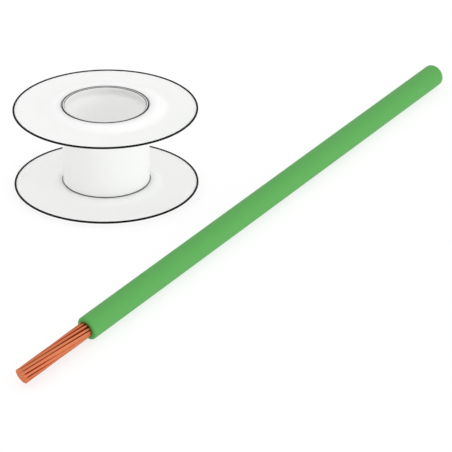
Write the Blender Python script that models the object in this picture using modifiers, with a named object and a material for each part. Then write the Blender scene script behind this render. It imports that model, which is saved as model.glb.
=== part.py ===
"""A bare wire spool and, on the surface beside it, a straight cut length of its stranded wire.

The spool is a thin-walled tube with a thin flange on each end and a round black bead along each
flange's rim. The wire is nineteen twisted bare strands in a green sleeve, stripped at one end.
Metres, +Z up. The origin is the middle of the spool's underside, on its own axis.
"""

import math

import bmesh
import bpy
from mathutils import Vector

MM = 0.001

# Spool
FLANGE_DIAMETER = 100.0 * MM  # over the rim beads
RIM_SPACING = 43.9 * MM  # between the middle planes of the two rims
DISC_THICKNESS = 0.4 * MM  # of a flange at its rim
HUB_RISE = 2.5 * MM  # a flange's outer hub face stands this far out of its rim plane
FOOT_RISE = 2.0 * MM  # and its inner hub face this far in
HUB_FACE_WIDTH = 3.2 * MM  # flat ring round the barrel, outside
FOOT_FACE_WIDTH = 2.2 * MM  # the same, inside
HUB_SLOPE_WIDTH = 8.0 * MM  # over which the outer hub face runs out into the disc
FOOT_SLOPE_WIDTH = 5.0 * MM
BEAD_DIAMETER = 1.2 * MM
BARREL_DIAMETER = 47.0 * MM
BARREL_WALL = 1.5 * MM
BARREL_CHAMFER = 0.3 * MM
SEAT_GAP = 0.3 * MM  # barrel to flange, and flange to rim bead

# Wire
STRAND_DIAMETER = 1.5 * MM
STRAND_GAP = 0.2 * MM  # between neighbouring strands
LAY_LENGTH = 380.0 * MM  # over which a strand goes round once
SLEEVE_CLEARANCE = 0.2 * MM
SLEEVE_WALL = 2.0 * MM
WIRE_LENGTH = 416.5 * MM
STRIPPED_LENGTH = 56.6 * MM
TIP_CUT_SLANT = math.radians(28.0)  # of the conductor's cut, off square
TIP_CUT_ROLL = math.radians(-47.0)  # which way it slants, from the wire's left side towards its top
SLEEVE_CUT_SLANT = math.radians(16.7)
SLEEVE_CUT_ROLL = math.radians(-42.0)
STRAND_ROLL = math.radians(147.0)  # where a strand of the outer layer lies at the sleeve's cut

# Where the wire lies
WIRE_HEADING = math.radians(58.3)  # from +X towards +Y, going away from its stripped end
RIM_TO_WIRE = 31.4 * MM  # clear of the flanges
TIP_SETBACK = 208.4 * MM  # of the stripped tip, from where the wire passes nearest to the spool

# How finely the round shapes are drawn
SPOOL_STEPS = 72
SLOPE_STEPS = 5
BEAD_SIDES = 8
SLEEVE_STEPS = 32
STRAND_SIDES_SETTING = 1  # bevel resolution: six sides
STEPS_PER_LAY = 16

barrel_radius = BARREL_DIAMETER / 2
hole_radius = barrel_radius + SEAT_GAP
spool_height = RIM_SPACING + 2 * HUB_RISE
bead_ring_radius = (FLANGE_DIAMETER - BEAD_DIAMETER) / 2
disc_radius = FLANGE_DIAMETER / 2 - BEAD_DIAMETER - SEAT_GAP
strand_pitch = STRAND_DIAMETER + STRAND_GAP
conductor_radius = 2 * strand_pitch + STRAND_DIAMETER / 2
sleeve_bore_radius = conductor_radius + SLEEVE_CLEARANCE
sleeve_radius = sleeve_bore_radius + SLEEVE_WALL


def clear_scene():
    for obj in list(bpy.data.objects):
        bpy.data.objects.remove(obj, do_unlink=True)


def collection(name):
    made = bpy.data.collections.new(name)
    bpy.context.scene.collection.children.link(made)
    return made


def material(name, rgb, roughness, metallic=0.0):
    made = bpy.data.materials.new(name)
    made.use_nodes = True
    shader = made.node_tree.nodes["Principled BSDF"]
    shader.inputs["Base Color"].default_value = (*rgb, 1.0)
    shader.inputs["Roughness"].default_value = roughness
    shader.inputs["Metallic"].default_value = metallic
    made.diffuse_color = (*rgb, 1.0)
    return made


def add_object(name, mesh, home, finish, parent=None):
    obj = bpy.data.objects.new(name, mesh)
    home.objects.link(obj)
    obj.parent = parent
    if not mesh.materials:
        mesh.materials.append(finish)
    return obj


def ring_profile_mesh(name, points):
    """A closed section of (radius, height) points, clockwise with +X to the right."""
    mesh = bpy.data.meshes.new(name)
    around = [(i, (i + 1) % len(points)) for i in range(len(points))]
    mesh.from_pydata([(r, 0.0, z) for r, z in points], around, [])
    return mesh


def turn(obj, steps):
    screw = obj.modifiers.new("turned", "SCREW")
    screw.axis = "Z"
    screw.angle = math.tau
    screw.steps = steps
    screw.render_steps = steps
    screw.use_merge_vertices = True
    screw.merge_threshold = 0.000001
    screw.use_smooth_shade = True


def slope(inner_radius, width, high, low):
    """Points of a smooth run-out from one height to a lower one, going outwards."""
    points = []
    for step in range(SLOPE_STEPS + 1):
        along = step / SLOPE_STEPS
        drop = (1 - math.cos(math.pi * along)) / 2
        points.append((inner_radius + width * along, high + (low - high) * drop))
    return points


# The flange: outer side up, its rim's middle plane at height 0. The lower one is turned over.
def flange_mesh():
    half = DISC_THICKNESS / 2
    outer = slope(hole_radius + HUB_FACE_WIDTH, HUB_SLOPE_WIDTH, HUB_RISE, half)
    inner = slope(hole_radius + FOOT_FACE_WIDTH, FOOT_SLOPE_WIDTH, -FOOT_RISE, -half)
    section = [(hole_radius, HUB_RISE), *outer]
    section += [(disc_radius, half), (disc_radius, -half)]
    section += [*reversed(inner), (hole_radius, -FOOT_RISE)]
    return ring_profile_mesh("flange", section)


def build_flanges(home, finish):
    mesh = flange_mesh()
    lower = add_object("lower_flange", mesh, home, finish)
    lower.location.z = HUB_RISE
    lower.rotation_euler.x = math.pi
    turn(lower, SPOOL_STEPS)
    upper = add_object("upper_flange", mesh, home, finish)
    upper.location.z = HUB_RISE + RIM_SPACING
    turn(upper, SPOOL_STEPS)


# The barrel: an open tube through both flanges, flush with their outer hub faces.
def build_barrel(home, finish):
    inside, outside = barrel_radius - BARREL_WALL, barrel_radius
    low, high, cut = 0.0, spool_height, BARREL_CHAMFER
    section = [(inside + cut, high), (outside - cut, high), (outside, high - cut)]
    section += [(outside, low + cut), (outside - cut, low), (inside + cut, low)]
    section += [(inside, low + cut), (inside, high - cut)]
    barrel = add_object("barrel_tube", ring_profile_mesh("barrel_tube", section), home, finish)
    turn(barrel, SPOOL_STEPS)


# The rim beads: a round ring along the edge of each disc.
def build_rim_beads(home, finish):
    heights = {"lower_rim_bead": HUB_RISE, "upper_rim_bead": HUB_RISE + RIM_SPACING}
    for name, height in heights.items():
        bpy.ops.mesh.primitive_torus_add(
            major_radius=bead_ring_radius,
            minor_radius=BEAD_DIAMETER / 2,
            major_segments=SPOOL_STEPS,
            minor_segments=BEAD_SIDES,
            location=(0.0, 0.0, height),
        )
        bead = bpy.context.object
        bead.name = name
        for other in bead.users_collection:
            other.objects.unlink(bead)
        home.objects.link(bead)
        bead.data.shade_smooth()
        bead.data.materials.append(finish)


# The wire lies along its own +X, from the stripped tip at 0, with +Y on its left.
def wire_line(home):
    line = bpy.data.objects.new("wire_line", None)
    home.objects.link(line)
    away = FLANGE_DIAMETER / 2 + RIM_TO_WIRE + sleeve_radius
    along = Vector((math.cos(WIRE_HEADING), math.sin(WIRE_HEADING), 0.0))
    right = Vector((math.sin(WIRE_HEADING), -math.cos(WIRE_HEADING), 0.0))
    line.location = right * away - along * TIP_SETBACK + Vector((0.0, 0.0, sleeve_radius))
    line.rotation_euler.z = WIRE_HEADING
    return line


def slanted_cutter(name, at, slant, roll, home, line):
    """A block over everything on the tip's side of a slanted plane that crosses the wire's axis."""
    reach = STRIPPED_LENGTH
    size = 6 * sleeve_radius
    mesh = bpy.data.meshes.new(name)
    shape = bmesh.new()
    bmesh.ops.create_cube(shape, size=1.0)
    bmesh.ops.scale(shape, vec=(reach, size, size), verts=shape.verts)
    bmesh.ops.translate(shape, vec=(-reach / 2, 0.0, 0.0), verts=shape.verts)
    shape.to_mesh(mesh)
    shape.free()
    cutter = bpy.data.objects.new(name, mesh)
    home.objects.link(cutter)
    cutter.parent = line
    cutter.location.x = at
    outward = Vector(
        (
            -math.cos(slant),
            math.sin(slant) * math.cos(roll),
            math.sin(slant) * math.sin(roll),
        )
    )
    cutter.rotation_mode = "QUATERNION"
    cutter.rotation_quaternion = (-outward).to_track_quat("X", "Z")
    cutter.hide_render = True
    cutter.display_type = "WIRE"
    return cutter


def cut_with(obj, cutter):
    cut = obj.modifiers.new("slanted cut", "BOOLEAN")
    cut.operation = "DIFFERENCE"
    cut.solver = "EXACT"
    cut.object = cutter


# The sleeve: a turned tube laid along the wire, cut on the slant where it was stripped.
def build_sleeve(home, cutters, line, finish):
    slant_reach = sleeve_radius * math.tan(SLEEVE_CUT_SLANT)
    start = STRIPPED_LENGTH - 2 * slant_reach
    long = WIRE_LENGTH - start
    section = [(sleeve_bore_radius, long), (sleeve_radius, long)]
    section += [(sleeve_radius, 0.0), (sleeve_bore_radius, 0.0)]
    sleeve = add_object("sleeve", ring_profile_mesh("sleeve", section), home, finish, line)
    sleeve.location.x = start
    sleeve.rotation_euler = (0.0, math.pi / 2, 0.0)
    turn(sleeve, SLEEVE_STEPS)
    cutter = slanted_cutter(
        "sleeve_cutter", STRIPPED_LENGTH, SLEEVE_CUT_SLANT, SLEEVE_CUT_ROLL, cutters, line
    )
    cut_with(sleeve, cutter)


def strand_points(ring_radius, roll, start):
    """Points along one strand, which goes round the wire's axis as a right-hand screw."""
    steps = max(1, math.ceil((WIRE_LENGTH - start) * STEPS_PER_LAY / LAY_LENGTH))
    if ring_radius == 0.0:
        steps = 1
    points = []
    for step in range(steps + 1):
        x = start + (WIRE_LENGTH - start) * step / steps
        angle = roll + math.tau * (x - STRIPPED_LENGTH) / LAY_LENGTH
        points.append((x, ring_radius * math.cos(angle), ring_radius * math.sin(angle)))
    return points


def strand_mesh(name, points):
    """A round bar through the points, as a closed mesh."""
    curve = bpy.data.curves.new(name, "CURVE")
    curve.dimensions = "3D"
    curve.bevel_depth = STRAND_DIAMETER / 2
    curve.bevel_resolution = STRAND_SIDES_SETTING
    curve.use_fill_caps = True
    spline = curve.splines.new("POLY")
    spline.points.add(len(points) - 1)
    for place, point in zip(spline.points, points):
        place.co = (*point, 1.0)
    bar = bpy.data.objects.new(name + "_curve", curve)
    bpy.context.scene.collection.objects.link(bar)
    graph = bpy.context.evaluated_depsgraph_get()
    mesh = bpy.data.meshes.new_from_object(bar.evaluated_get(graph))
    bpy.data.objects.remove(bar, do_unlink=True)
    mesh.name = name
    shape = bmesh.new()
    shape.from_mesh(mesh)
    bmesh.ops.remove_doubles(shape, verts=shape.verts, dist=0.000001)
    bmesh.ops.recalc_face_normals(shape, faces=shape.faces)
    shape.to_mesh(mesh)
    shape.free()
    mesh.shade_smooth()
    mesh.set_sharp_from_angle(angle=math.radians(65.0))
    return mesh


# The conductor: one straight strand, six round it and twelve round those, cut together.
def build_strands(home, cutters, line, finish):
    cutter = slanted_cutter("conductor_cutter", 0.0, TIP_CUT_SLANT, TIP_CUT_ROLL, cutters, line)
    start = -2 * conductor_radius * math.tan(TIP_CUT_SLANT)
    layers = (("strand_core", 1, 0.0), ("strand_inner", 6, 1.0), ("strand_outer", 12, 2.0))
    for layer, count, rings in layers:
        for index in range(count):
            name = layer if count == 1 else f"{layer}_{index + 1}"
            roll = STRAND_ROLL + math.tau * index / count
            points = strand_points(rings * strand_pitch, roll, start)
            strand = add_object(name, strand_mesh(name, points), home, finish, line)
            cut_with(strand, cutter)


def main():
    clear_scene()
    spool = collection("wire_spool")
    cutters = collection("cutters")
    white = material("white polystyrene", (0.86, 0.86, 0.85), 0.45)
    black = material("black edging", (0.02, 0.02, 0.022), 0.5)
    green = material("green PVC sleeve", (0.136, 0.440, 0.120), 0.5)
    copper = material("bare copper", (0.745, 0.216, 0.107), 0.35, 1.0)
    build_flanges(spool, white)
    build_barrel(spool, white)
    build_rim_beads(spool, black)
    line = wire_line(spool)
    build_sleeve(spool, cutters, line, green)
    build_strands(spool, cutters, line, copper)


main()
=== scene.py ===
"""The looks of a bare wire spool and of the cut length of its wire that lies beside it."""

import math

import bmesh
import bpy
from mathutils import Matrix, Vector


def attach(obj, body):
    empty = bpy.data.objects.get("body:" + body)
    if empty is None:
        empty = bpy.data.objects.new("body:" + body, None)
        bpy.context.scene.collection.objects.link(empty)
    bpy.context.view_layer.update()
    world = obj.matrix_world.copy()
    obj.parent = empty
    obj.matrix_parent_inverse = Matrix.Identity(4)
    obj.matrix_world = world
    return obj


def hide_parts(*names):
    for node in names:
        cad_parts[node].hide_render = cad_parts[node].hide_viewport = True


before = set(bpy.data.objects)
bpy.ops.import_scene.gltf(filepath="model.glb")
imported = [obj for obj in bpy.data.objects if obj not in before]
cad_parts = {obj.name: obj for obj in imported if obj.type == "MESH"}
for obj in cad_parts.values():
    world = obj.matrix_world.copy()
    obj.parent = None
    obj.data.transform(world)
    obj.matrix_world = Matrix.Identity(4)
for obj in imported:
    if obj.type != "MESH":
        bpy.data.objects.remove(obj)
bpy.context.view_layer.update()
scene = bpy.context.scene


# The camera stands in front of the spool and looks down on it at 27 degrees. It is a long lens well away
# from the spool, so that both flanges look almost the same size.
looks_down = 26.85
camera = bpy.data.objects.new("camera", bpy.data.cameras.new("camera"))
camera.data.sensor_fit = "HORIZONTAL"
camera.data.sensor_width = 36.0
camera.data.lens = 286.7
camera.data.clip_end = 20.0
camera.location = (0.0649, -1.7563, 0.8646)
camera.rotation_euler.x = math.radians(90.0 - looks_down)
scene.collection.objects.link(camera)
scene.camera = camera


# The sleeve is soft green PVC, extruded over the copper in one pass and then cut to length. At one end it
# was cut round with a knife, a little on the slant, and pulled off, which drew its wall down to a round lip.
# Far end and stripped tip lie on the surface that the spool stands on.
MM = 0.001
stripped_tip = Vector((-0.03485, -0.22342, 0.00635))
flush_end = Vector((0.18401, 0.13094, 0.00635))
wire_length = (flush_end - stripped_tip).length
along = (flush_end - stripped_tip) / wire_length
up = Vector((0.0, 0.0, 1.0))
across = up.cross(along)
wire_place = Matrix((along, across, up)).transposed().to_4x4()
wire_place.translation = stripped_tip

sleeve_radius = 6.35 * MM
sleeve_bore = 4.30 * MM
bare_length = 56.6 * MM
lip_outside = 1.6 * MM
lip_inside = 0.12 * MM
flush_edge = 0.2 * MM
sharp_from = math.radians(50.0)
SLEEVE_SIDES = 128
SLEEVE_ROW = 4.0 * MM
LIP_STEPS = 12
INNER_LIP_STEPS = 5
FLUSH_STEPS = 4

# Angles round the wire start at its left-hand side, seen from the tip, and go over its top. A cut lies
# furthest from the tip on the side of its roll.
knife_slant = math.tan(math.radians(16.7))
knife_roll = math.radians(-42.0)

# The sleeve was moulded on the copper wires, and its bore keeps a flute for each wire of the outer layer.
strand_diameter = 1.66 * MM
strand_pitch = 1.70 * MM
outer_layer = 2
outer_count = 12
outer_ring = outer_layer * strand_pitch
first_strand = math.radians(147.0)
lay_length = 380.0 * MM
flute_gap = 0.04 * MM
flute_floor = 3.75 * MM
fluted_length = 3.0 * MM


def arc(middle, radius, start, end, steps):
    """Points of a round corner, from one angle to another in degrees, in the plane of a section."""
    points = []
    for step in range(steps + 1):
        angle = math.radians(start + (end - start) * step / steps)
        points.append((middle[0] + radius * math.cos(angle), middle[1] + radius * math.sin(angle)))
    return points


def slanted(x, y, z, slant, roll, length):
    """A point of the wire at x behind a cut, moved so that the cut slants and the flush end stays square."""
    lean = slant * (math.cos(roll) * y + math.sin(roll) * z)
    return x + lean * (1 - x / length), y, z


def flute(angle):
    """How far the sleeve's cut edge reaches in from its bore at an angle, between two copper wires."""
    lean = knife_slant * sleeve_bore * math.cos(angle - knife_roll)
    twist = first_strand + math.tau * lean / lay_length
    spacing = math.tau / outer_count
    aside = (angle - twist + spacing / 2) % spacing - spacing / 2
    half_chord = outer_ring * math.sin(aside)
    hollow = strand_diameter / 2 + flute_gap
    if abs(half_chord) >= hollow:
        return sleeve_bore - flute_floor
    outline = outer_ring * math.cos(aside) + math.sqrt(hollow * hollow - half_chord * half_chord)
    return sleeve_bore - min(sleeve_bore, max(flute_floor, outline))


def skin(name, rows, joined, finish):
    """A piece with a smooth skin through rows of points, each a closed loop. The last row joins the first,
    or both ends are closed with flat caps."""
    shape = bmesh.new()
    loops = [[shape.verts.new(point) for point in row] for row in rows]
    pairs = list(zip(loops, loops[1:]))
    if joined:
        pairs.append((loops[-1], loops[0]))
    else:
        shape.faces.new(loops[0])
        shape.faces.new(loops[-1])
    for one, other in pairs:
        for corner in range(len(one)):
            after = (corner + 1) % len(one)
            shape.faces.new((one[corner], one[after], other[after], other[corner]))
    bmesh.ops.recalc_face_normals(shape, faces=shape.faces)
    mesh = bpy.data.meshes.new(name)
    shape.to_mesh(mesh)
    shape.free()
    mesh.shade_smooth()
    mesh.set_sharp_from_angle(angle=sharp_from)
    mesh.materials.append(finish)
    piece = bpy.data.objects.new(name, mesh)
    scene.collection.objects.link(piece)
    even = piece.modifiers.new("even shading", "WEIGHTED_NORMAL")
    even.keep_sharp = True
    return piece


def colour(srgb_hex):
    """A hex colour as the linear values that a shader takes."""
    parts = [int(srgb_hex[place : place + 2], 16) / 255 for place in (1, 3, 5)]
    return (*(p / 12.92 if p <= 0.04045 else ((p + 0.055) / 1.055) ** 2.4 for p in parts), 1.0)


def node(tree, kind, links=(), **settings):
    """Adds a node, sets its properties, and gives its sockets values or links from other nodes' outputs."""
    made = tree.nodes.new(kind)
    for name, value in settings.items():
        setattr(made, name, value)
    for socket, value in dict(links).items():
        if isinstance(value, bpy.types.NodeSocket):
            tree.links.new(value, made.inputs[socket])
        else:
            made.inputs[socket].default_value = value
    return made


# Plasticised PVC is matt and even in colour. The extruder's die leaves faint lines along it, and the
# surface between them is slightly uneven, like very fine orange peel.
line_stretch = 0.02
die_line = 0.7 * MM
orange_peel = 0.45 * MM
pvc_cloud = 9.0 * MM
pvc_relief = 0.05 * MM


def extruded_pvc():
    finish = bpy.data.materials.new("extruded soft PVC")
    finish.use_nodes = True
    tree = finish.node_tree
    shader = tree.nodes["Principled BSDF"]
    place = node(tree, "ShaderNodeTexCoord").outputs["Object"]
    lengthwise = node(tree, "ShaderNodeMapping", {"Vector": place, "Scale": (line_stretch, 1.0, 1.0)})
    die_lines = node(
        tree,
        "ShaderNodeTexNoise",
        {"Vector": lengthwise.outputs["Vector"], "Scale": 1 / die_line, "Detail": 3.0},
    )
    clouds = node(tree, "ShaderNodeTexNoise", {"Vector": place, "Scale": 1 / pvc_cloud, "Detail": 2.0})
    peel = node(tree, "ShaderNodeTexNoise", {"Vector": place, "Scale": 1 / orange_peel, "Detail": 2.0})
    blend = node(
        tree,
        "ShaderNodeMath",
        {0: die_lines.outputs["Fac"], 1: clouds.outputs["Fac"]},
        operation="MULTIPLY",
    )
    shades = node(
        tree,
        "ShaderNodeMixRGB",
        {"Fac": blend.outputs["Value"], "Color1": colour("#4FA049"), "Color2": colour("#59A853")},
    )
    tree.links.new(shades.outputs["Color"], shader.inputs["Base Color"])
    dull = node(
        tree,
        "ShaderNodeMapRange",
        {"Value": clouds.outputs["Fac"], "To Min": 0.55, "To Max": 0.68},
    )
    tree.links.new(dull.outputs["Result"], shader.inputs["Roughness"])
    relief = node(
        tree,
        "ShaderNodeMixRGB",
        {"Fac": 0.5, "Color1": die_lines.outputs["Fac"], "Color2": peel.outputs["Fac"]},
    )
    bump = node(
        tree,
        "ShaderNodeBump",
        {"Height": relief.outputs["Color"], "Strength": 0.5, "Distance": pvc_relief},
    )
    tree.links.new(bump.outputs["Normal"], shader.inputs["Normal"])
    shader.inputs["IOR"].default_value = 1.42
    return finish


sleeve_length = wire_length - bare_length
behind_lip = sleeve_length - lip_outside
row_count = round(behind_lip / SLEEVE_ROW)
section = [(fluted_length, sleeve_bore)]
section += arc((lip_inside, sleeve_bore + lip_inside), lip_inside, 270, 180, INNER_LIP_STEPS)
section += arc((lip_outside, sleeve_radius - lip_outside), lip_outside, 180, 90, LIP_STEPS)
for row in range(1, row_count):
    section.append((lip_outside + (behind_lip - flush_edge) * row / row_count, sleeve_radius))
section += arc((sleeve_length - flush_edge, sleeve_radius - flush_edge), flush_edge, 90, 0, FLUSH_STEPS)
section += arc((sleeve_length - flush_edge, sleeve_bore + flush_edge), flush_edge, 0, -90, FLUSH_STEPS)
sleeve_rows = []
for x, radius in section:
    fluted = x < fluted_length and radius <= sleeve_bore + lip_inside
    ring = []
    for side in range(SLEEVE_SIDES):
        angle = math.tau * side / SLEEVE_SIDES
        reach = radius - flute(angle) if fluted else radius
        y, z = reach * math.cos(angle), reach * math.sin(angle)
        ring.append(slanted(x, y, z, knife_slant, knife_roll, sleeve_length))
    sleeve_rows.append([(bare_length + x, y, z) for x, y, z in ring])
sleeve = skin("insulation", sleeve_rows, True, extruded_pvc())
sleeve.matrix_world = wire_place
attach(sleeve, "root")
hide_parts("sleeve")


# The conductor is nineteen round bare copper wires, drawn through dies: one straight, six wound round it
# and twelve round those, all with a long right-hand lay. The blades that cut them through together at the
# stripped tip pinched them there until they filled the gaps between each other.
inner_count = 6
conductor_radius = outer_ring + strand_diameter / 2
strand_gap = 0.03 * MM
tip_squeeze = 0.98
pinched_length = 3.0 * MM
pinched_spread = 1.4
shear_slant = math.tan(math.radians(28.0))
shear_roll = math.radians(-47.0)
burr = 0.05 * MM
burr_step = 0.3
crowded = 1.5 * strand_pitch
facing = 0.1
STRAND_SIDES = 24
SHOWN_ROW = 1.5 * MM
HIDDEN_ROW = 9.0 * MM

# The tool that pulled the sleeve off slid along two or three wires and pressed them flat. The flat side
# starts behind the tip, and lies at this angle where the sleeve starts.
pressed_side = math.radians(-166.0)
pressed_angle = math.radians(40.0)
pressed_from = 6.0 * MM
pressed_run = 27.0 * MM
pressed_spread = 1.3
pressed_depth = 0.15 * MM

# The oxide grows stronger towards the sleeve, and is paler in a patch near the tip on one side.
oxide_at_tip = 1.2
oxide_at_sleeve = 2.3
oxide_growth = 3
paler_oxide_at = 12.0 * MM
paler_oxide_side = math.radians(122.0)
paler_oxide_reach = 22.0 * MM
paler_oxide_angle = math.radians(28.0)


# Drawn copper keeps fine lines along each wire from the die. Handling polishes the outward side of the
# wires, and brown oxide stays in the grooves between them. A painted shade makes the upper wires a duller,
# darker copper. The faces at the cut tip are freshly sheared metal, and copper stays coloured at its grazing
# edges. Sizes on the two maps are in millimetres.
draw_lines_per_mm = 6.0
stain_size = 4.0 * MM
groove_starts = 0.1
groove_brown = 0.7
top_shade_starts = 2.6 * MM
top_shade_full = 4.1 * MM
draw_relief = 0.03 * MM


def drawn_copper():
    finish = bpy.data.materials.new("drawn bare copper")
    finish.use_nodes = True
    tree = finish.node_tree
    shader = tree.nodes["Principled BSDF"]
    unrolled = node(tree, "ShaderNodeUVMap", uv_map="unrolled")
    lengthwise = node(
        tree, "ShaderNodeMapping", {"Vector": unrolled.outputs["UV"], "Scale": (1.0, line_stretch, 1.0)}
    )
    draw_lines = node(
        tree,
        "ShaderNodeTexNoise",
        {"Vector": lengthwise.outputs["Vector"], "Scale": draw_lines_per_mm, "Detail": 3.0},
    )
    place = node(tree, "ShaderNodeTexCoord").outputs["Object"]
    stains = node(tree, "ShaderNodeTexNoise", {"Vector": place, "Scale": 1 / stain_size, "Detail": 4.0})
    groove = node(tree, "ShaderNodeUVMap", uv_map="groove")
    depth = node(tree, "ShaderNodeSeparateXYZ", {"Vector": groove.outputs["UV"]})
    oxide = node(
        tree,
        "ShaderNodeMapRange",
        {"Value": depth.outputs["X"], "From Min": groove_starts, "From Max": groove_brown},
    )
    metal = node(
        tree,
        "ShaderNodeMixRGB",
        {"Fac": stains.outputs["Fac"], "Color1": colour("#D87A52"), "Color2": colour("#E48B64")},
    )
    # Painted shade: the copper is mixed towards a darker, duller colour on the top of the conductor.
    height = node(tree, "ShaderNodeSeparateXYZ", {"Vector": place}).outputs["Z"]
    top_shade = node(
        tree,
        "ShaderNodeMapRange",
        {"Value": height, "From Min": top_shade_starts, "From Max": top_shade_full},
    )
    top_shaded = node(
        tree,
        "ShaderNodeMixRGB",
        {"Fac": top_shade.outputs["Result"], "Color1": metal.outputs["Color"], "Color2": colour("#CE7F59")},
    )
    browned = node(
        tree,
        "ShaderNodeMixRGB",
        {"Fac": oxide.outputs["Result"], "Color1": top_shaded.outputs["Color"], "Color2": colour("#AC3402")},
    )
    sheared = node(
        tree,
        "ShaderNodeMixRGB",
        {"Fac": depth.outputs["Y"], "Color1": browned.outputs["Color"], "Color2": colour("#DF7E4E")},
    )
    tree.links.new(sheared.outputs["Color"], shader.inputs["Base Color"])
    dull = node(
        tree,
        "ShaderNodeMapRange",
        {"Value": draw_lines.outputs["Fac"], "To Min": 0.26, "To Max": 0.54},
    )
    tree.links.new(dull.outputs["Result"], shader.inputs["Roughness"])
    bump = node(
        tree,
        "ShaderNodeBump",
        {"Height": draw_lines.outputs["Fac"], "Strength": 0.6, "Distance": draw_relief},
    )
    tree.links.new(bump.outputs["Normal"], shader.inputs["Normal"])
    shader.inputs["Metallic"].default_value = 1.0
    shader.inputs["Specular Tint"].default_value = colour("#FAE8DA")
    return finish


def lies_at(layer, start, x):
    """Where across the conductor a wire of a layer lies at x, and how far round the axis it has turned."""
    squeeze = 1 - (1 - tip_squeeze) * max(0.0, 1 - x / bare_length)
    twist = first_strand + start + math.tau * (x - bare_length) / lay_length
    return Vector((math.cos(twist), math.sin(twist))) * layer * strand_pitch * squeeze, twist


def turn_between(angle, other):
    """How far one angle has turned from another, from half a turn back to half a turn on."""
    return (angle - other + math.pi) % math.tau - math.pi


def pressed(y, z, x):
    """How far the outer layer is pressed flat at a place, from 0 to 1. The tool slid along the lay, so the
    same wires are flat all the way."""
    side = pressed_side + math.tau * (x - bare_length) / lay_length
    aside = abs(turn_between(math.atan2(z, y), side))
    across_share = min(1.0, max(0.0, 2 - 2 * aside / pressed_angle))
    along_share = min(1.0, max(0.0, (x - pressed_from) / pressed_run))
    share = across_share * along_share
    return share * share * (3 - 2 * share)


def strand_rows(layer, start, others):
    """Rings of points down one wire, from the slanted cut at the tip to the flush end. It is round, but for
    where its neighbours crowd it and where the tool has pressed it."""
    places = [(0.0, burr), (burr_step * burr, burr_step * burr), (burr, 0.0)]
    shown = round(bare_length / SHOWN_ROW)
    hidden = round(sleeve_length / HIDDEN_ROW)
    places += [(burr + (bare_length - burr) * row / shown, 0.0) for row in range(1, shown + 1)]
    places += [(bare_length + sleeve_length * row / hidden, 0.0) for row in range(1, hidden + 1)]
    rows = []
    for x, shrink in places:
        middle, twist = lies_at(layer, start, x)
        gaps = [lies_at(*other, x)[0] - middle for other in others]
        near = [gap for gap in gaps if gap.length < crowded]
        pinch = max(0.0, 1 - x / pinched_length)
        press = pressed(middle.x, middle.y, x) if layer == outer_layer else 0.0
        flat_top = conductor_radius - pressed_depth * press
        spread = 1 + (pinched_spread - 1) * pinch * pinch + (pressed_spread - 1) * press
        row = []
        for side in range(STRAND_SIDES):
            angle = twist + math.pi + math.tau * side / STRAND_SIDES
            way = Vector((math.cos(angle), math.sin(angle)))
            radius = strand_diameter / 2 * spread
            for gap in near:
                faces = way.dot(gap) / gap.length
                if faces > facing:
                    radius = min(radius, (gap.length - strand_gap) / 2 / faces)
            point = middle + way * (radius - shrink)
            if layer == outer_layer:
                point *= min(1.0, flat_top / point.length)
            row.append(slanted(x, point.x, point.y, shear_slant, shear_roll, wire_length))
        rows.append(row)
    return rows


def oxide_left(x, angle):
    """How strong the oxide is at a place on the conductor."""
    share = min(1.0, max(0.0, x / bare_length))
    grown = oxide_at_tip + (oxide_at_sleeve - oxide_at_tip) * share**oxide_growth
    away = (x - paler_oxide_at) / paler_oxide_reach
    aside = turn_between(angle, paler_oxide_side) / paler_oxide_angle
    return grown * (1 - math.exp(-(away**2) - aside**2))


def unroll(piece):
    """Gives each wire two maps. One is how far round it from its outward side and how far along. The other
    is how deep in the grooves it lies, by the strength of the oxide, and whether it is a cut face."""
    mesh = piece.data
    flat = mesh.uv_layers.new(name="unrolled")
    groove = mesh.uv_layers.new(name="groove")
    around = math.pi * strand_diameter / MM
    for face in mesh.polygons:
        sides = [mesh.loops[loop].vertex_index % STRAND_SIDES for loop in face.loop_indices]
        is_cut_face = len(sides) == STRAND_SIDES
        wraps = max(sides) - min(sides) > STRAND_SIDES / 2
        for loop, side in zip(face.loop_indices, sides):
            share = (side + STRAND_SIDES * (wraps and side == 0)) / STRAND_SIDES
            x, y, z = mesh.vertices[mesh.loops[loop].vertex_index].co
            flat.data[loop].uv = ((share - 0.5) * around, x / MM)
            top = conductor_radius - pressed_depth * pressed(y, z, x)
            deep = max(0.0, top - math.hypot(y, z)) / MM
            stained = deep * oxide_left(x, math.atan2(z, y))
            groove.data[loop].uv = (0.0, 1.0) if is_cut_face else (stained, 0.0)


copper = drawn_copper()
lays = {"core": (0, 0.0)}
for layer_name, layer, count in (("inner", 1, inner_count), ("outer", outer_layer, outer_count)):
    for index in range(count):
        lays[f"{layer_name}_{index + 1}"] = (layer, math.tau * index / count)
for name, (layer, start) in lays.items():
    others = [lay for lay in lays.values() if lay != (layer, start)]
    strand = skin(f"copper_wire_{name}", strand_rows(layer, start, others), False, copper)
    unroll(strand)
    strand.matrix_world = wire_place
    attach(strand, "root")
    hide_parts(f"strand_{name}")


# The barrel is a length of thin-walled white polystyrene tube, open at both ends, that passes through the
# flanges and ends flush with their outer hub faces. Its rims are broken with a small radius.
barrel_outside = 23.5 * MM
barrel_inside = 22.0 * MM
spool_height = 48.9 * MM
barrel_edge = 0.3 * MM
hub_rise = 2.5 * MM
foot_rise = 2.0 * MM
EDGE_STEPS = 5
SPOOL_SIDES = 256

# Painted shade darkens rings at both ends of the spool to near-black: in the seam between hub and barrel,
# on the bore's rim, and where the flange's inner side meets the barrel. Each has the radius of its ring, and
# how far from that it is solid and where it ends.
hub_seam = (23.4 * MM, 0.4 * MM, 0.7 * MM)
bore_rim = (22.1 * MM, 0.15 * MM, 0.4 * MM)
foot_seam = (23.65 * MM, 0.15 * MM, 0.6 * MM)

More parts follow.
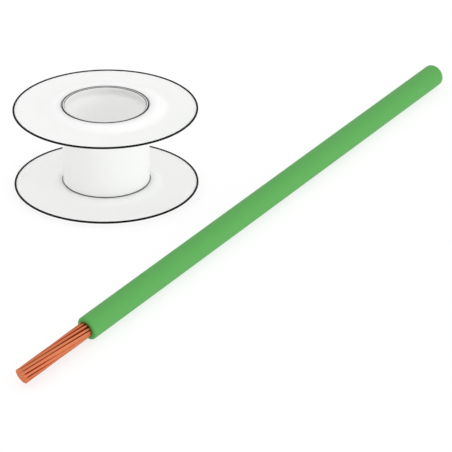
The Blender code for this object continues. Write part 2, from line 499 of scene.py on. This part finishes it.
# Polystyrene moulded in a turned steel mould: satin, with a trace of the turning lines round the axis. Its
# thin walls let light in, which keeps their shaded sides and the bore almost as white as the lit ones.
turning_line = 0.6 * MM
turning_relief = 0.02 * MM
flow_cloud = 18.0 * MM
light_let_in = 0.75
light_reaches = 6.0 * MM


def moulded_polystyrene():
    finish = bpy.data.materials.new("moulded white polystyrene")
    finish.use_nodes = True
    tree = finish.node_tree
    shader = tree.nodes["Principled BSDF"]
    place = node(tree, "ShaderNodeTexCoord").outputs["Object"]
    split = node(tree, "ShaderNodeSeparateXYZ", {"Vector": place})
    flat = node(tree, "ShaderNodeCombineXYZ", {"X": split.outputs["X"], "Y": split.outputs["Y"]})
    from_axis = node(tree, "ShaderNodeVectorMath", {0: flat.outputs["Vector"]}, operation="LENGTH")
    profile = node(
        tree, "ShaderNodeCombineXYZ", {"X": from_axis.outputs["Value"], "Y": split.outputs["Z"]}
    )
    turning = node(
        tree,
        "ShaderNodeTexNoise",
        {"Vector": profile.outputs["Vector"], "Scale": 1 / turning_line, "Detail": 2.0},
    )
    flow = node(tree, "ShaderNodeTexNoise", {"Vector": place, "Scale": 1 / flow_cloud, "Detail": 2.0})
    shades = node(
        tree,
        "ShaderNodeMixRGB",
        {"Fac": flow.outputs["Fac"], "Color1": colour("#F9F9F7"), "Color2": colour("#FCFCFB")},
    )
    from_middle = node(
        tree, "ShaderNodeMath", {0: split.outputs["Z"], 1: spool_height / 2}, operation="SUBTRACT"
    )
    above_middle = node(tree, "ShaderNodeMath", {0: from_middle.outputs["Value"]}, operation="ABSOLUTE")
    mirrored = node(
        tree, "ShaderNodeCombineXYZ", {"X": from_axis.outputs["Value"], "Y": above_middle.outputs["Value"]}
    )
    dull = node(tree, "ShaderNodeMapRange", {"Value": flow.outputs["Fac"], "To Min": 0.36, "To Max": 0.48})
    hub_level = spool_height / 2
    foot_level = hub_level - hub_rise - foot_rise
    seams = [(hub_seam, hub_level), (bore_rim, hub_level), (foot_seam, foot_level)]
    # Painted shade: each ring mixes the colour towards near-black and makes the surface rough there.
    for (radius, solid, edge), level in seams:
        apart = node(
            tree,
            "ShaderNodeVectorMath",
            {0: mirrored.outputs["Vector"], 1: (radius, level, 0.0)},
            operation="DISTANCE",
        )
        seam_shade = node(
            tree,
            "ShaderNodeMapRange",
            {"Value": apart.outputs["Value"], "From Min": edge, "From Max": solid},
            interpolation_type="SMOOTHSTEP",
        )
        shades = node(
            tree,
            "ShaderNodeMixRGB",
            {"Fac": seam_shade.outputs["Result"], "Color1": shades.outputs["Color"], "Color2": colour("#0C0B0A")},
        )
        dull = node(
            tree,
            "ShaderNodeMath",
            {0: dull.outputs[0], 1: seam_shade.outputs["Result"]},
            operation="MAXIMUM",
        )
    tree.links.new(shades.outputs["Color"], shader.inputs["Base Color"])
    tree.links.new(dull.outputs["Value"], shader.inputs["Roughness"])
    bump = node(
        tree,
        "ShaderNodeBump",
        {"Height": turning.outputs["Fac"], "Strength": 0.1, "Distance": turning_relief},
    )
    tree.links.new(bump.outputs["Normal"], shader.inputs["Normal"])
    shader.inputs["IOR"].default_value = 1.59
    shader.inputs["Subsurface Weight"].default_value = light_let_in
    shader.inputs["Subsurface Radius"].default_value = (1.0, 1.0, 1.0)
    shader.inputs["Subsurface Scale"].default_value = light_reaches
    return finish


def turned(name, section, finish, height=0.0, flipped=False):
    """A piece of the spool, turned from its section of (radius, height) points about the spool's axis."""
    rows = []
    for radius, z in section:
        level = height - z if flipped else height + z
        ring = []
        for side in range(SPOOL_SIDES):
            angle = math.tau * side / SPOOL_SIDES
            ring.append((radius * math.cos(angle), radius * math.sin(angle), level))
        rows.append(ring)
    return skin(name, rows, True, finish)


polystyrene = moulded_polystyrene()
outer, inner = barrel_outside - barrel_edge, barrel_inside + barrel_edge
low, high = barrel_edge, spool_height - barrel_edge
section = arc((inner, high), barrel_edge, 180, 90, EDGE_STEPS)
section += arc((outer, high), barrel_edge, 90, 0, EDGE_STEPS)
section += arc((outer, low), barrel_edge, 0, -90, EDGE_STEPS)
section += arc((inner, low), barrel_edge, -90, -180, EDGE_STEPS)
barrel = turned("barrel", section, polystyrene)
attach(barrel, "root")
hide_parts("barrel_tube")


# Each flange is a thin moulded disc of the same polystyrene, pressed onto the barrel. It stands up round
# the barrel as a low hub on its outer side, and less on its inner side, and its edge runs out to a thin
# tongue that the bead sits on. The lower one is the same, turned over.
rim_spacing = 43.9 * MM
disc_half = 0.2 * MM
disc_radius = 48.5 * MM
tongue = 0.45 * MM
tongue_half = 0.05 * MM
hole_radius = 23.8 * MM
hub_face = 3.2 * MM
foot_face = 2.2 * MM
hub_slope = 8.0 * MM
foot_slope = 5.0 * MM
hole_edge = 0.3 * MM
SLOPE_STEPS = 24


def run_out(start_radius, width, start_height, end_height):
    """Points of a smooth run-out from one height to another, going outwards."""
    points = []
    for step in range(SLOPE_STEPS + 1):
        share = step / SLOPE_STEPS
        drop = (1 - math.cos(math.pi * share)) / 2
        points.append((start_radius + width * share, start_height + (end_height - start_height) * drop))
    return points


section = arc((hole_radius + hole_edge, hub_rise - hole_edge), hole_edge, 180, 90, EDGE_STEPS)
section += run_out(hole_radius + hub_face, hub_slope, hub_rise, disc_half)
section += [(disc_radius, disc_half), (disc_radius + tongue, tongue_half)]
section += [(disc_radius + tongue, -tongue_half), (disc_radius, -disc_half)]
section += reversed(run_out(hole_radius + foot_face, foot_slope, -foot_rise, -disc_half))
section += arc((hole_radius + hole_edge, hole_edge - foot_rise), hole_edge, 270, 180, EDGE_STEPS)
rim_heights = {"lower": hub_rise, "upper": hub_rise + rim_spacing}
for level, height in rim_heights.items():
    flange = turned(f"flange_{level}", section, polystyrene, height, level == "lower")
    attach(flange, "root")
    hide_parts(f"{level}_flange")


# Each rim is edged with a bead of soft black PVC, a round cord with a narrow flat on its inner side, where
# it is bonded to the tongue of the disc.
bead_radius = 0.575 * MM
bead_ring = 49.425 * MM
bond = 0.02 * MM
bead_flat = disc_radius + tongue + bond
BEAD_STEPS = 20

# The black PVC is matt and almost without a sheen, a little uneven from handling.
handling_mark = 3.0 * MM


def black_pvc():
    finish = bpy.data.materials.new("black PVC edging")
    finish.use_nodes = True
    tree = finish.node_tree
    shader = tree.nodes["Principled BSDF"]
    place = node(tree, "ShaderNodeTexCoord").outputs["Object"]
    wear = node(tree, "ShaderNodeTexNoise", {"Vector": place, "Scale": 1 / handling_mark, "Detail": 4.0})
    shades = node(
        tree,
        "ShaderNodeMixRGB",
        {"Fac": wear.outputs["Fac"], "Color1": colour("#08080A"), "Color2": colour("#121214")},
    )
    tree.links.new(shades.outputs["Color"], shader.inputs["Base Color"])
    dull = node(tree, "ShaderNodeMapRange", {"Value": wear.outputs["Fac"], "To Min": 0.65, "To Max": 0.85})
    tree.links.new(dull.outputs["Result"], shader.inputs["Roughness"])
    shader.inputs["IOR"].default_value = 1.3
    return finish


edging = black_pvc()
half_flat = math.degrees(math.acos((bead_ring - bead_flat) / bead_radius))
section = arc((bead_ring, 0.0), bead_radius, half_flat - 180, 180 - half_flat, BEAD_STEPS)
for level, height in rim_heights.items():
    bead = turned(f"rim_bead_{level}", section, edging, height)
    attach(bead, "root")
    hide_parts(f"{level}_rim_bead")


# The surface is a matt white sheet. A part of its light is a plain glow, so that the shadows on it stay
# pale. The camera sees more of the glow than the object does, which makes the sheet as white as the
# background.
floor_size = 6.0
floor_drop = 0.05 * MM
floor_white = 0.9
glow = 1.08
glow_share = 0.45
seen_share = 0.7


def seen(tree):
    """1 for a ray from the camera, straight or by a reflection or through something clear, and else 0."""
    rays = node(tree, "ShaderNodeLightPath")
    mirrored = node(
        tree,
        "ShaderNodeMath",
        {0: rays.outputs["Is Glossy Ray"], 1: rays.outputs["Is Transmission Ray"]},
        operation="MAXIMUM",
    )
    either = node(
        tree,
        "ShaderNodeMath",
        {0: rays.outputs["Is Camera Ray"], 1: mirrored.outputs["Value"]},
        operation="MAXIMUM",
    )
    return either.outputs["Value"]


shape = bmesh.new()
bmesh.ops.create_grid(shape, x_segments=1, y_segments=1, size=floor_size / 2)
sheet = bpy.data.meshes.new("floor")
shape.to_mesh(sheet)
shape.free()
floor = bpy.data.objects.new("floor", sheet)
floor.location.z = -floor_drop
scene.collection.objects.link(floor)
paper = bpy.data.materials.new("matt white paper")
paper.use_nodes = True
tree = paper.node_tree
tree.nodes.remove(tree.nodes["Principled BSDF"])
matt = node(tree, "ShaderNodeBsdfDiffuse", {"Color": (floor_white, floor_white, floor_white, 1.0)})
bright = node(tree, "ShaderNodeEmission", {"Strength": glow})
share = node(
    tree,
    "ShaderNodeMapRange",
    {"Value": seen(tree), "To Min": glow_share, "To Max": seen_share},
)
mixed = node(
    tree,
    "ShaderNodeMixShader",
    {"Fac": share.outputs["Result"], 1: matt.outputs["BSDF"], 2: bright.outputs["Emission"]},
)
tree.links.new(mixed.outputs["Shader"], tree.nodes["Material Output"].inputs["Surface"])
sheet.materials.append(paper)


# White studio walls light everything from all round, and a soft lamp stands low on the right, in front.
sky_level = 0.94
seen_level = 1.0
lamp_strength = 1.1
lamp_softness = math.radians(35.0)
towards_lamp = Vector((0.83, -0.53, 0.10))

world = bpy.data.worlds.new("white studio")
scene.world = world
world.use_nodes = True
tree = world.node_tree
level = node(tree, "ShaderNodeMapRange", {"Value": seen(tree), "To Min": sky_level, "To Max": seen_level})
tree.links.new(level.outputs["Result"], tree.nodes["Background"].inputs["Strength"])
tree.nodes["Background"].inputs["Color"].default_value = (1.0, 1.0, 1.0, 1.0)

lamp = bpy.data.objects.new("low soft lamp", bpy.data.lights.new("low soft lamp", "SUN"))
lamp.data.energy = lamp_strength
lamp.data.angle = lamp_softness
lamp.rotation_mode = "QUATERNION"
lamp.rotation_quaternion = towards_lamp.to_track_quat("Z", "Y")
scene.collection.objects.link(lamp)

scene.view_settings.view_transform = "Standard"
